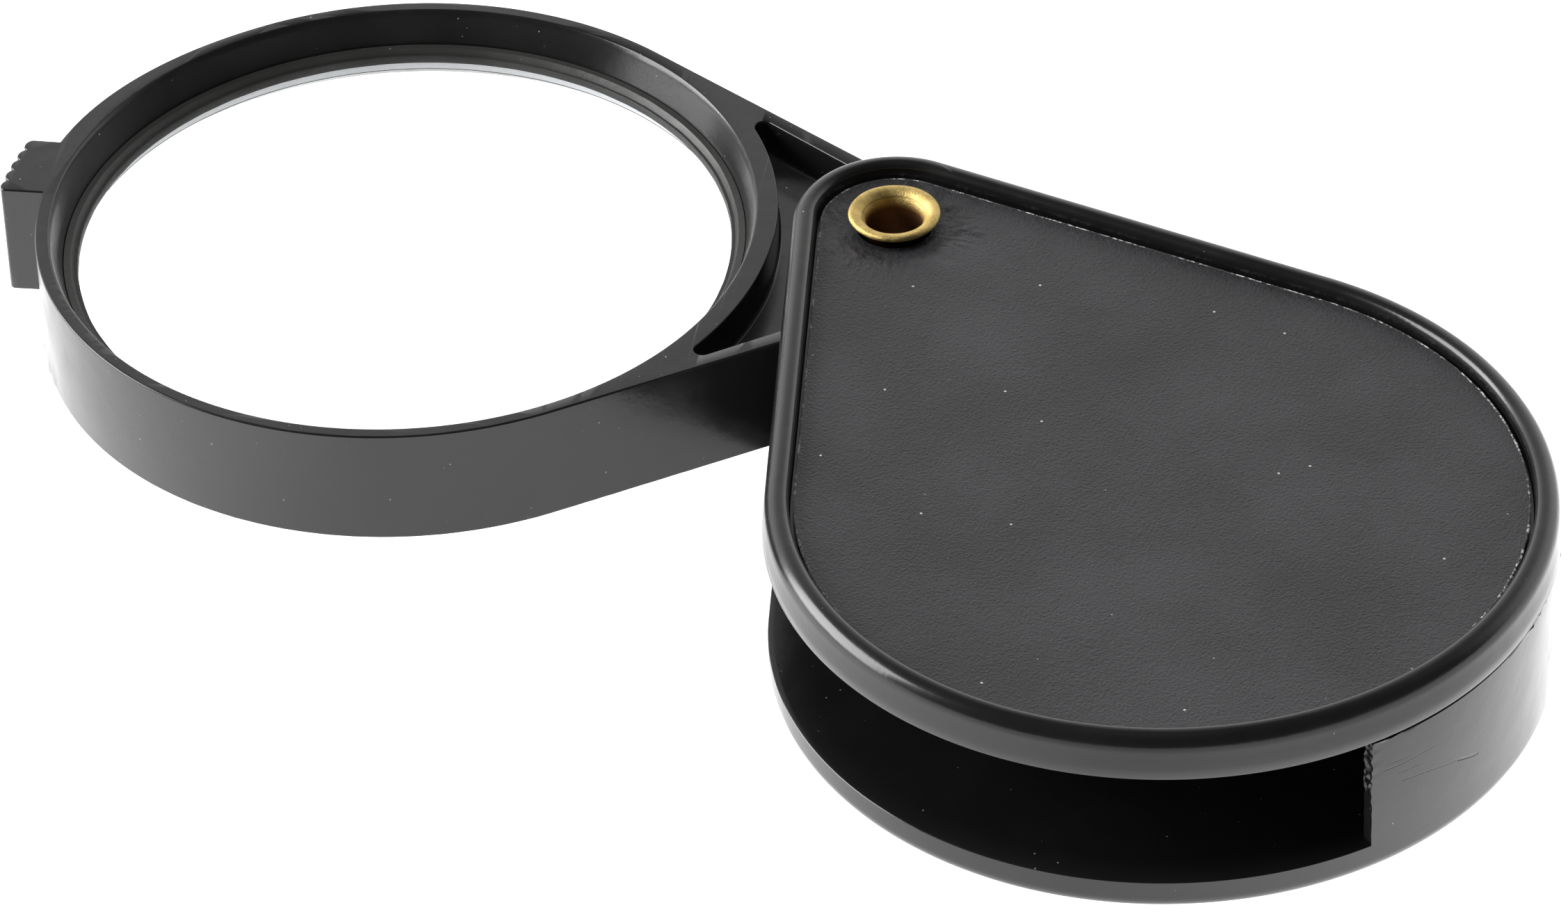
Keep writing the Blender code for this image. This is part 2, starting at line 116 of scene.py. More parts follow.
WEB_HALF = 1.5               # half the thickness of the web between the two pockets
POCKET_RING_R = 28.7         # the pockets' side along the ring, about the lens's axis
POCKET_BOSS_R = 6.0          # their side along the hub's boss, about the hinge
POCKET_TIP_R = 0.7
ARM_THICKNESS = 1.15

TAB_R = 31.55                # the thumb tab, about the lens's axis
TAB_SLANT = 0.24             # its foot side stands this much lower than its front
TAB_FLANK_R = 30.90
TAB_FOOT = math.radians(-11.8)
TAB_SIDE = math.radians(-11.0)
TAB_FRONT = math.radians(1.6)
TAB_RIBS = 5
RIB_DEPTH = 0.40
SWELL = 0.75                 # the ring's swelling from SWELL_START to the tab's foot
SWELL_START = math.radians(-55)

FLANGE_R = 3.5               # the eyelet's flange: its edge and its crest
FLANGE_CREST_R = 3.2
FLANGE_LIP = 0.26            # height of the flange's rolled edge
FUNNEL_DEPTH = 1.45
BORE_R = 2.1
BARREL_R = 2.45
CLINCH_R = 2.70              # middle and half width of the clinched end's roll
CLINCH_HALF = 0.60

# Steps along the case's outline: the big end, the hub and each straight side.
BIG_STEPS = 250
HUB_STEPS = 60
SIDE_STEPS = 74


# ---------------------------------------------------------------- mesh helpers

def polar(centre, radius, angle):
    """The point at a radius and an angle about a centre."""
    return centre + radius * Vector((math.cos(angle), math.sin(angle)))


def arc(centre, radius, start, end, step=0.5):
    """Points along an arc about step millimetres apart, both ends included."""
    count = max(3, math.ceil(abs(end - start) * radius / step) + 1)
    return [polar(centre, radius, start + (end - start) * i / (count - 1)) for i in range(count)]


def straight(start, end, step=0.8):
    """Points between start and end, without them."""
    count = max(1, math.ceil((end - start).length / step))
    return [start.lerp(end, i / count) for i in range(1, count)]


def tangent_angle(hub_r, big_r, length):
    """Where straight sides touch a hub and a big end whose middles are length apart."""
    return math.pi / 2 + math.asin((big_r - hub_r) / length)


def teardrop(inset):
    """The case's outline, anticlockwise. Outlines at different insets match point by point."""
    t = tangent_angle(COVER_HUB_R, COVER_BIG_R, CASE_LENGTH)
    centre = Vector((CASE_LENGTH, 0))
    hub = Vector((0, 0))
    points = [polar(centre, COVER_BIG_R - inset, -t + 2 * t * i / BIG_STEPS)
              for i in range(BIG_STEPS + 1)]
    hub_arc = [polar(hub, COVER_HUB_R - inset, t + (2 * math.pi - 2 * t) * i / HUB_STEPS)
               for i in range(HUB_STEPS + 1)]
    points += [points[-1].lerp(hub_arc[0], i / SIDE_STEPS) for i in range(1, SIDE_STEPS)]
    points += hub_arc
    points += [hub_arc[-1].lerp(points[0], i / SIDE_STEPS) for i in range(1, SIDE_STEPS)]
    return points


def case_ring(inset, z):
    return [Vector((p.x, p.y, z)) for p in teardrop(inset)]


def circle_ring(radius, z, count, centre=Vector((0, 0))):
    points = [polar(centre, radius, 2 * math.pi * i / count) for i in range(count)]
    return [Vector((p.x, p.y, z)) for p in points]


def offset(points, distance):
    """A closed outline moved outwards by distance, corner by corner."""
    moved = []
    count = len(points)
    for i, point in enumerate(points):
        before = (point - points[i - 1]).normalized()
        after = (points[(i + 1) % count] - point).normalized()
        normal = Vector((before.y + after.y, -before.x - after.x))
        if normal.length < 1e-6:
            normal = Vector((after.y, -after.x))
        normal.normalize()
        reach = max(0.6, normal.dot(Vector((after.y, -after.x))))
        moved.append(point + normal * (distance / reach))
    return moved


def loft(bm, rings):
    """Quads between closed rings of equal length. Returns the rings' vertices."""
    made = [[bm.verts.new(p) for p in ring] for ring in rings]
    for lower, upper in zip(made[:-1], made[1:]):
        for i in range(len(lower)):
            j = (i + 1) % len(lower)
            bm.faces.new((lower[i], lower[j], upper[j], upper[i]))
    return made


def loop_edges(bm, verts):
    """The edges of a closed ring of vertices, made where they are missing."""
    edges = []
    for i, vert in enumerate(verts):
        other = verts[(i + 1) % len(verts)]
        edges.append(bm.edges.get((vert, other)) or bm.edges.new((vert, other)))
    return edges


def cap(bm, outer, inner=()):
    """A flat face over a ring, with a hole where inner is given."""
    edges = loop_edges(bm, outer)
    if inner:
        edges += loop_edges(bm, inner)
    bmesh.ops.triangle_fill(bm, use_beauty=True, edges=edges)


def finish_mesh(name, bm, matrix):
    """The mesh of bm with its faces pointing out, moved by matrix."""
    bmesh.ops.recalc_face_normals(bm, faces=bm.faces)
    mesh = bpy.data.meshes.new(name)
    bm.to_mesh(mesh)
    bm.free()
    mesh.transform(matrix)
    return mesh


def place(angle=0.0):
    """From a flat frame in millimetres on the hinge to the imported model's frame in metres."""
    return (Matrix.Translation((HINGE.x, HINGE.y, 0)) @ Matrix.Rotation(angle, 4, "Z")
            @ Matrix.Scale(MM, 4))


CASE = place()
LENS_FRAME = place(OPEN_ANGLE)


def add_piece(name, mesh, body, nodes, mats, sharp=35):
    """A finished piece on its body, in place of CAD nodes; edges over sharp degrees stay sharp."""
    piece = bpy.data.objects.new(name, mesh)
    bpy.context.scene.collection.objects.link(piece)
    for mat in mats:
        mesh.materials.append(mat)
    mesh.shade_smooth()
    mesh.set_sharp_from_angle(angle=math.radians(sharp))
    even = piece.modifiers.new("even_normals", "WEIGHTED_NORMAL")
    even.keep_sharp = True
    even.weight = 60
    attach(piece, body)
    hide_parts(*nodes)


def turned(name, profile, count, matrix, centre=Vector((0, 0)), closed=True):
    """A profile of (radius, height) points turned about a centre.

    A closed profile goes round a tube's section; an open one starts and ends on the axis.
    """
    bm = bmesh.new()
    rings = [circle_ring(max(r, 1e-4), z, count, centre) for r, z in profile]
    made = loft(bm, rings)
    if closed:
        for i in range(count):
            j = (i + 1) % count
            bm.faces.new((made[-1][i], made[-1][j], made[0][j], made[0][i]))
    else:
        bm.faces.new(made[0])
        bm.faces.new(made[-1])
    return finish_mesh(name, bm, matrix)


def quarter(across, height, steps, inset, z, rising=True):
    """(inset, height) points along a quarter ellipse, up to a crest or down from one."""
    points = []
    for i in range(1, steps + 1):
        a = math.pi / 2 * i / steps
        if rising:
            points.append((inset + across * (1 - math.cos(a)), z + height * math.sin(a)))
        else:
            points.append((inset + across * math.sin(a), z + height * (math.cos(a) - 1)))
    return points


def share_between(value, low, high):
    """0 up to low and 1 from high, straight between."""
    return max(0.0, min(1.0, (value - low) / (high - low)))


def wobble(point, scale, seed=0.0):
    """Smooth noise between -1 and 1."""
    return noise.noise(Vector((point.x * scale + seed, point.y * scale, point.z * scale)))


# ---------------------------------------------------------------- materials

def node(tree, kind, values=None, **settings):
    """A shader node; values gives its inputs, as sockets to link or as plain values."""
    made = tree.nodes.new("ShaderNode" + kind)
    for key, value in settings.items():
        setattr(made, key, value)
    for key, value in (values or {}).items():
        socket = made.inputs[key]
        if isinstance(value, bpy.types.NodeSocket):
            tree.links.new(value, socket)
        else:
            socket.default_value = value
    return made


def ramp(tree, factor, low, high):
    """0 below low and 1 above high, smooth between."""
    made = node(tree, "MapRange", {"Value": factor, "From Min": low, "From Max": high},
                interpolation_type="SMOOTHSTEP")
    return made.outputs["Result"]


def math_node(tree, operation, a, b=0.0):
    """The result of a Math node on two sockets or numbers."""
    return node(tree, "Math", {0: a, 1: b}, operation=operation).outputs[0]


def noise_value(tree, coords, scale, detail=2.0, roughness=0.5):
    made = node(tree, "TexNoise", {"Vector": coords, "Scale": scale, "Detail": detail,
                                   "Roughness": roughness})
    return made.outputs["Fac"]


def mix_colour(tree, factor, a, b):
    """Colour a where factor is 0 and b where it is 1."""
    made = tree.nodes.new("ShaderNodeMix")
    made.data_type = "RGBA"
    for key, value in ((0, factor), (6, a), (7, b)):
        if isinstance(value, bpy.types.NodeSocket):
            tree.links.new(value, made.inputs[key])
        else:
            made.inputs[key].default_value = value
    return made.outputs[2]


def specks(tree, coords, scale, size, share, dimensions="3D"):
    """Mask of scattered specks: scale cells a metre, size of a cell's radius, share of cells."""
    cells = node(tree, "TexVoronoi", {"Vector": coords, "Scale": scale, "Randomness": 1.0},
                 voronoi_dimensions=dimensions)
    dot = ramp(tree, cells.outputs["Distance"], size, size * 0.5)
    pick = node(tree, "SeparateColor", {"Color": cells.outputs["Color"]})
    chosen = ramp(tree, pick.outputs[0], 1 - share, 1 - share + 0.01)
    return math_node(tree, "MULTIPLY", dot, chosen)


def new_material(name):
    """A new material with its tree, its shader and object coordinates, which are in metres."""
    mat = bpy.data.materials.new(name)
    mat.use_nodes = True
    tree = mat.node_tree
    shader = tree.nodes["Principled BSDF"]
    coords = node(tree, "TexCoord").outputs["Object"]
    return mat, tree, shader, coords


def set_bump(tree, shader, height, distance):
    """Relief on a shader; a height of 1 stands distance metres proud."""
    made = node(tree, "Bump", {"Height": height, "Distance": distance, "Strength": 1.0})
    tree.links.new(made.outputs["Normal"], shader.inputs["Normal"])


def segment(tree, coords, start, end, width):
    """1 on a straight mark from start to end, fading out at its width."""
    length = (end - start).length
    along = (end - start) / length
    from_start = node(tree, "VectorMath", {0: coords, 1: start}, operation="SUBTRACT").outputs[0]
    reach = node(tree, "VectorMath", {0: from_start, 1: along}, operation="DOT_PRODUCT")
    reach = node(tree, "Clamp", {"Value": reach.outputs["Value"], "Max": length}).outputs[0]
    nearest = node(tree, "VectorMath", {0: along, "Scale": reach}, operation="SCALE").outputs[0]
    away = node(tree, "VectorMath", {0: from_start, 1: nearest}, operation="DISTANCE")
    return ramp(tree, away.outputs["Value"], width, width * 0.4)


def any_of(tree, masks):
    """The strongest of some masks."""
    total = masks[0]
    for mask in masks[1:]:
        total = math_node(tree, "MAXIMUM", total, mask)
    return total


def case_coords(tree, coords):
    """Object coordinates as millimetres in the case's flat frame."""
    moved = node(tree, "VectorMath", {0: coords, 1: Vector((HINGE.x, HINGE.y, 0))},
                 operation="SUBTRACT").outputs[0]
    return node(tree, "VectorMath", {0: moved, "Scale": 1 / MM}, operation="SCALE").outputs[0]


def floor_plan(tree, flat):
    """Coordinates in the case's flat frame brought down to height 0."""
    return node(tree, "VectorMath", {0: flat, 1: Vector((1, 1, 0))}, operation="MULTIPLY").outputs[0]


def unrolled(tree, flat):
    """The big end's side unrolled: arc length round it and height, both in millimetres."""
    axes = node(tree, "SeparateXYZ", {"Vector": flat})
    x = math_node(tree, "SUBTRACT", axes.outputs["X"], CASE_LENGTH)
    turn = math_node(tree, "ARCTAN2", axes.outputs["Y"], x)
    along = math_node(tree, "MULTIPLY", turn, COVER_BIG_R)
    return node(tree, "CombineXYZ", {"X": along, "Y": axes.outputs["Z"]}).outputs[0]


def plastic(name, colour, rough, grain, dust, marks=None):
    """Moulded black plastic: orange peel, uneven gloss, small pits darkened with painted shade, a
    little dust, and marks.

    rough is the lowest and highest roughness, grain the fine bump's share, dust the share of
    cells with a speck in them, and marks makes a mask of scratches.
    """
    mat, tree, shader, coords = new_material(name)
    blotch = noise_value(tree, coords, 180, 3)
    fine = noise_value(tree, coords, 2600, 2)
    uneven = node(tree, "MapRange", {"Value": blotch, "From Min": 0.3, "From Max": 0.7,
                                     "To Min": rough[0], "To Max": rough[1]})
    tree.links.new(uneven.outputs["Result"], shader.inputs["Roughness"])
    dusty = any_of(tree, [specks(tree, coords, 620, 0.050, dust),
                          specks(tree, coords, 1500, 0.060, dust * 0.3)])
    lighter = tuple(c * 1.5 for c in colour[:3]) + (1,)
    base = mix_colour(tree, blotch, colour, lighter)
    base = mix_colour(tree, dusty, base, (0.30, 0.29, 0.28, 1))
    # Small pits, sunk into the bump and darkened with painted shade.
    shaded_pits = specks(tree, coords, 420, 0.06, 0.05)
    base = mix_colour(tree, shaded_pits, base, (0.002, 0.002, 0.002, 1))
    peel = noise_value(tree, coords, 420, 1)
    height = math_node(tree, "ADD", math_node(tree, "MULTIPLY", fine, grain),
                       math_node(tree, "MULTIPLY", peel, 0.9))
    height = math_node(tree, "SUBTRACT", height, shaded_pits)
    if marks:
        mask = marks(tree, coords)
        base = mix_colour(tree, mask, base, (0.006, 0.004, 0.003, 1))
        height = math_node(tree, "SUBTRACT", height, math_node(tree, "MULTIPLY", mask, 3.0))
    tree.links.new(base, shader.inputs["Base Color"])
    set_bump(tree, shader, height, 0.00002)
    return mat


def wall_marks(tree, coords):
    """Hair scratches on the wall beside the slot's corner, as ends in unrolled() and a width."""
    side = unrolled(tree, case_coords(tree, coords))
    bend = noise_value(tree, coords, 300, 1)
    shift = node(tree, "CombineXYZ", {"Y": math_node(tree, "MULTIPLY", bend, 0.5)}).outputs[0]
    side = node(tree, "VectorMath", {0: side, 1: shift}, operation="ADD").outputs[0]
    hairs = (((0.9, 9.45), (5.6, 9.35), 0.05), ((2.2, 8.65), (4.4, 8.35), 0.035),
             ((2.5, 7.75), (8.3, 6.65), 0.05), ((7.9, 6.65), (10.2, 5.95), 0.13),
             ((1.0, 9.9), (2.9, 9.75), 0.035))
    return any_of(tree, [segment(tree, side, Vector((*a, 0)), Vector((*b, 0)), width)
                         for a, b, width in hairs])


def rim_marks(tree, coords):
    """A nick across the rim by the hub, and a scuff that trails off from it."""
    plan = floor_plan(tree, case_coords(tree, coords))
    cuts = (((-4.6, 6.3), (-3.5, 5.85), 0.10), ((-3.5, 5.85), (-2.2, 6.2), 0.07))
    return any_of(tree, [segment(tree, plan, Vector((*a, 0)), Vector((*b, 0)), width)
                         for a, b, width in cuts])


def sheet_material(name):
    """Matte sheet with a fine pebble grain, a little cloudy and lightly dusty."""
    mat, tree, shader, coords = new_material(name)
    pebble = node(tree, "TexVoronoi", {"Vector": coords, "Scale": 5200, "Randomness": 1.0},
                  feature="SMOOTH_F1")
    cloud = noise_value(tree, coords, 90, 4)
    small = noise_value(tree, coords, 3600, 2, 0.6)
    tone = math_node(tree, "ADD", math_node(tree, "MULTIPLY", cloud, 0.5),
                     math_node(tree, "MULTIPLY", small, 0.5))
    base = mix_colour(tree, ramp(tree, tone, 0.35, 0.65), (0.0165, 0.0160, 0.0175, 1),
                      (0.0315, 0.0305, 0.0330, 1))
    dust = specks(tree, coords, 210, 0.026, 0.12, "2D")
    fluff = specks(tree, coords, 640, 0.06, 0.010, "2D")
    base = mix_colour(tree, dust, base, (0.42, 0.41, 0.38, 1))
    base = mix_colour(tree, fluff, base, (0.20, 0.20, 0.19, 1))
    tree.links.new(base, shader.inputs["Base Color"])
    rough = node(tree, "MapRange", {"Value": small, "From Min": 0.3, "From Max": 0.7,
                                    "To Min": 0.46, "To Max": 0.60})
    tree.links.new(rough.outputs["Result"], shader.inputs["Roughness"])
    height = math_node(tree, "ADD", pebble.outputs["Distance"],
                       math_node(tree, "MULTIPLY", small, 0.6))
    set_bump(tree, shader, height, 0.00004)
    return mat


def edge_material():
    """Die-cut edge of the sheet: torn fibres and white dust, with the pale flecks painted strongest
    along its far side as a highlight where the edge catches the light.
    """
    mat, tree, shader, coords = new_material("sheet_edge")
    side = node(tree, "SeparateXYZ", {"Vector": case_coords(tree, coords)}).outputs["Y"]
    # Painted highlight as well as dust: the pale flecks grow from a fifth of their strength on the near
    # side to full strength on the far side, where the edge catches the light.
    far = node(tree, "MapRange", {"Value": side, "From Min": -6, "From Max": 6,
                                  "To Min": 0.2, "To Max": 1.0}).outputs["Result"]
    torn = ramp(tree, noise_value(tree, coords, 2400, 3, 0.7), 0.46, 0.58)
    patchy = ramp(tree, noise_value(tree, coords, 420, 2), 0.36, 0.58)
    dusty = math_node(tree, "MULTIPLY", math_node(tree, "MULTIPLY", torn, patchy), far)
    base = mix_colour(tree, dusty, (0.035, 0.035, 0.036, 1), (0.50, 0.50, 0.49, 1))
    tree.links.new(base, shader.inputs["Base Color"])
    shader.inputs["Roughness"].default_value = 0.75
    set_bump(tree, shader, torn, 0.00003)
    return mat


def brass_material():
    """Satin brass with a grainy skin; painted shade turns it dark brown down in the bore, and a painted
    shadow darkens the neck under the flange.
    """
    mat, tree, shader, coords = new_material("satin_brass")
    grain = noise_value(tree, coords, 6500, 3, 0.75)
    patch = noise_value(tree, coords, 900, 3)
    base = mix_colour(tree, ramp(tree, patch, 0.35, 0.7), (0.80, 0.60, 0.23, 1),
                      (0.60, 0.43, 0.14, 1))
    base = mix_colour(tree, ramp(tree, grain, 0.52, 0.70), base, (0.95, 0.78, 0.38, 1))
    flat = case_coords(tree, coords)
    height = node(tree, "SeparateXYZ", {"Vector": flat}).outputs["Z"]
    radius = node(tree, "VectorMath", {0: floor_plan(tree, flat)},
                  operation="LENGTH").outputs["Value"]
    outside = ramp(tree, radius, BORE_R + 0.25, BORE_R + 0.35)
    # Painted shadow: the neck just under the flange is darkened where the flange shades it.
    neck_shadow = math_node(tree, "MULTIPLY", outside,
                     ramp(tree, height, SHEET_TOP_Z + 0.72, SHEET_TOP_Z + 0.50))
    # Painted shade: the bore turns dark brown, deeper down, where the tube lies in shade.
    inside = math_node(tree, "SUBTRACT", 1.0, outside)
    bore = math_node(tree, "MULTIPLY", inside,
                     ramp(tree, height, SHEET_TOP_Z + 0.55, SHEET_TOP_Z - 0.35))
    base = mix_colour(tree, bore, base, (0.24, 0.12, 0.05, 1))
    base = mix_colour(tree, neck_shadow, base, (0.03, 0.015, 0.008, 1))
    tree.links.new(base, shader.inputs["Base Color"])
    shader.inputs["Metallic"].default_value = 1.0
    rough = node(tree, "MapRange", {"Value": grain, "To Min": 0.44, "To Max": 0.62})
    tree.links.new(rough.outputs["Result"], shader.inputs["Roughness"])
    set_bump(tree, shader, grain, 0.00006)
    return mat


def glass_material():
    """Clear polished lens. Shadow rays pass straight through it, so the table under it is lit."""
    mat, tree, shader, _ = new_material("clear_lens")
    # Faint green tint of the glass, also a painted shade: it dims the glowing table seen through the
    # lens, where the frame shades the table.
    shader.inputs["Base Color"].default_value = (0.965, 0.985, 0.972, 1)
    shader.inputs["Roughness"].default_value = 0.0
    shader.inputs["IOR"].default_value = 1.49
    shader.inputs["Transmission Weight"].default_value = 1.0
    clear = node(tree, "BsdfTransparent", {"Color": (0.96, 0.97, 0.96, 1)})
    path = node(tree, "LightPath")
    shadow = math_node(tree, "MAXIMUM", path.outputs["Is Shadow Ray"],
                       path.outputs["Is Diffuse Ray"])
    blend = node(tree, "MixShader", {0: shadow})
    tree.links.new(shader.outputs[0], blend.inputs[1])
    tree.links.new(clear.outputs[0], blend.inputs[2])
    out = tree.nodes["Material Output"]
    tree.links.new(blend.outputs[0], out.inputs["Surface"])
    return mat


def ground_material():
    """Ground side of the lens: pale, matte and faintly uneven."""
    mat, tree, shader, coords = new_material("ground_side")
    grit = noise_value(tree, coords, 1800, 3)
    base = mix_colour(tree, grit, (0.62, 0.62, 0.65, 1), (0.77, 0.77, 0.80, 1))
    tree.links.new(base, shader.inputs["Base Color"])
    shader.inputs["Roughness"].default_value = 0.85
    set_bump(tree, shader, grit, 0.00002)
    return mat


CASE_BLACK = (0.0075, 0.0072, 0.0072, 1)
CASE_PLASTIC = plastic("case_black", CASE_BLACK, (0.17, 0.27), 0.30, 0.30, wall_marks)
COVER_PLASTIC = plastic("cover_black", CASE_BLACK, (0.17, 0.27), 0.30, 0.25, rim_marks)
FRAME_PLASTIC = plastic("frame_black", (0.0080, 0.0077, 0.0077, 1), (0.17, 0.28), 0.30, 0.60)
RETAINER_PLASTIC = plastic("retainer_black", (0.022, 0.022, 0.021, 1), (0.38, 0.55), 1.6, 0.50)
SHEET = sheet_material("grained_sheet")
SHEET_EDGE = edge_material()
BRASS = brass_material()
GLASS = glass_material()
GROUND = ground_material()


# ---------------------------------------------------------------- case

def rim_section(inset, crest_z, d, height, lean):
    """The rolled rim as (inset, height) points, from its outer side to the recess's floor.

    d is 1 for a rim that rises and -1 for one that hangs; height is the outer rounding's, and
    lean is how far the side under it draws in. The crest is a narrow flat, and the inner
    rounding reaches RIM_REACH.
    """
    start = crest_z - height * d
    step = 0.6 * d
    points = [(inset + lean * (1 - k / 3), start - step * k) for k in (2, 1, 0)]
    points += quarter(RIM_ACROSS, height * d, 14, inset + lean, start)
    crest = lean + RIM_ACROSS + RIM_FLAT
    points.append((inset + crest, crest_z))
    inner = RIM_REACH - crest
    points += quarter(inner, inner * d, 8, inset + crest, crest_z, rising=False)
    return points


def cover_mesh():
    """The top cover: roof, rolled rim and a small rounded lip that hangs over the wall."""
    bm = bmesh.new()
    lip_z = ROOF_Z - COVER_LIP
    section = [(0.5, ROOF_Z), (0.14, ROOF_Z), (0.12, lip_z + 0.04), (0.08, lip_z),
               (0.03, lip_z + 0.02), (0.0, lip_z + 0.08)]
    section += rim_section(0.0, CREST_Z, 1, COVER_RIM_HEIGHT, COVER_LEAN)
    section += [(RIM_REACH + 0.02, ROOF_OVER_Z + 0.12), (RIM_REACH + 0.1, ROOF_OVER_Z)]
    made = loft(bm, [case_ring(inset, z) for inset, z in section])
    hole = loft(bm, [circle_ring(PIVOT_HOLE_R, z, 64) for z in (ROOF_Z, ROOF_OVER_Z)])
    cap(bm, made[0], hole[0])
    cap(bm, made[-1], hole[1])
    return finish_mesh("case_cover", bm, CASE)


def plate_mesh():
    """The base's floor and rolled rim, without its wall."""
    bm = bmesh.new()
    section = [(0.6, FLOOR_Z), (0.30, FLOOR_Z), (0.19, FLOOR_Z - 0.03), (0.15, FLOOR_Z - 0.08)]
    section += rim_section(SHELL_INSET, 0.0, -1, BASE_RIM_HEIGHT, 0.0)
    foot = SHELL_INSET + RIM_REACH
    section += [(foot + 0.02, FLOOR_UNDER_Z - 0.12), (foot + 0.1, FLOOR_UNDER_Z)]
    made = loft(bm, [case_ring(inset, z) for inset, z in section])
    hole = loft(bm, [circle_ring(PIVOT_HOLE_R, z, 64) for z in (FLOOR_Z, FLOOR_UNDER_Z)])
    cap(bm, made[0], hole[0])
    cap(bm, made[-1], hole[1])
    return finish_mesh("floor_plate", bm, Matrix.Identity(4))


def wall_path(inset):
    """Points of the case's outline that carry the wall, from the slot's corner to the hub."""
    return teardrop(inset)[BIG_STEPS // 2:BIG_STEPS + SIDE_STEPS]


def trimmed_end(point):
    """A point of the wall's end, pushed out where flash was trimmed off, most in the upper half."""
    rough = share_between(point.z, FLOOR_Z + 0.3, FLOOR_Z + 0.8)
    rough *= 0.25 + 0.75 * share_between(point.z, MID_Z - 1.5, MID_Z)
    push, shake = 0.24, 0.07
    lump = max(0.0, 0.35 + wobble(point, 1.9) + 0.5 * wobble(point, 5.3, 4.0))
    pushed = point - Vector((0, rough * push * lump, 0))
    return pushed + Vector((rough * shake * wobble(pushed, 3.1, 7.0), 0, 0))


def squeezed_glue(x, y, z):
    """A point of the wall's outer side near its top, pushed out on stretches of its seam."""
    from_middle = Vector((x - CASE_LENGTH, y, 0))
    angle = math.degrees(math.atan2(y, x - CASE_LENGTH))
    stretches = ((3.0, 2.0), (37.0, 4.5), (52.0, 5.0))      # middle and spread, in degrees
    push = 0.30
    ragged = sum(math.exp(-((angle - at) / wide) ** 2) for at, wide in stretches)
    out = push * ragged * max(0.0, 0.25 + wobble(Vector((x, y, 0)), 1.3, 6.0))
    return Vector((x, y, z)) + from_middle.normalized() * out


def wall_mesh():
    """The side wall, with a groove under the cover's lip and its end left rough."""
    bm = bmesh.new()
    proud = 0.006       # clear of the floor plate's side, so that no two faces lie in one plane
    outer = wall_path(SHELL_INSET - proud)
    inner = wall_path(SHELL_INSET + WALL_BIG)
    count = len(outer)
    inner = [p.lerp(q, (WALL_BIG - WALL_HUB) / WALL_BIG * i / count)
             for i, (p, q) in enumerate(zip(inner, outer))][::-1]
    end = straight(inner[-1], outer[0], 0.12)
    plan = outer + straight(outer[-1], inner[0], 0.15) + inner + end
    end_start = len(plan) - len(end) - 1
    top = ROOF_Z - 0.05
    foot = FLOOR_Z + 0.2
    groove = top - 0.46
    rows = 48
    heights = [FLOOR_Z - 0.3, FLOOR_Z, foot]
    heights += [foot + (groove - foot) * i / rows for i in range(1, rows + 1)]
    rings = []
    for z in heights:
        ring = [Vector((p.x, p.y, z)) for p in plan]
        rings.append([trimmed_end(p) if i == 0 or i >= end_start else p
                      for i, p in enumerate(ring)])
    for inset, z in ((0.03, groove + 0.04), (0.17, groove + 0.12), (0.20, top)):
        rings.append([squeezed_glue(p.x, p.y, z) if i < count else Vector((p.x, p.y, z))
                      for i, p in enumerate(offset(plan, -inset))])
    made = loft(bm, rings)
    cap(bm, made[-1])
    cap(bm, made[0])
    return finish_mesh("side_wall", bm, Matrix.Identity(4))


def temporary(mesh):
    """An object for a mesh that only takes part in a Boolean."""
    obj = bpy.data.objects.new(mesh.name, mesh)
    bpy.context.scene.collection.objects.link(obj)
    return obj


def combined(body_mesh, tools, operation):
    """One mesh from a body and the meshes that are joined to it or cut from it."""
    body = temporary(body_mesh)
    others = [temporary(mesh) for mesh in tools]
    for other in others:
        step = body.modifiers.new(other.name, "BOOLEAN")
        step.object = other
        step.operation = operation
        step.solver = "EXACT"
    bpy.context.view_layer.update()
    evaluated = body.evaluated_get(bpy.context.evaluated_depsgraph_get())
    mesh = bpy.data.meshes.new_from_object(evaluated)
    for obj in others + [body]:
        bpy.data.objects.remove(obj, do_unlink=True)
    return mesh


def base_mesh():
    """The bottom shell: floor plate and side wall as one body."""
    mesh = combined(plate_mesh(), [wall_mesh()], "UNION")
    mesh.transform(CASE)
    return mesh


def sheet_height(x, y, top, dimple):
    """Height of the sheet: pressed down round the eyelet, with creases fanning out of the dip."""
    dip_r, dip_spread = 3.4, 1.35
    ruffle_r, ruffle_spread = 5.2, 1.5
    r = math.hypot(x, y)
    spot = Vector((x, y, 0))
    dip = dimple * math.exp(-max(0.0, (r - dip_r) / dip_spread) ** 2)
    angle = math.atan2(y, x)
    crease = wobble(Vector((math.cos(angle) * 3.2, math.sin(angle) * 3.2, r * 0.35)), 1.0, 9.0)
    fine = wobble(spot, 1.9, 2.0) + 0.6 * wobble(spot, 3.4, 4.0)
    ruffle = dimple * (0.40 * crease + 0.25 * fine)
    ruffle *= math.exp(-((r - ruffle_r) / ruffle_spread) ** 2)
    return top - dip + ruffle + 0.012 * wobble(spot, 0.12, 5.0)


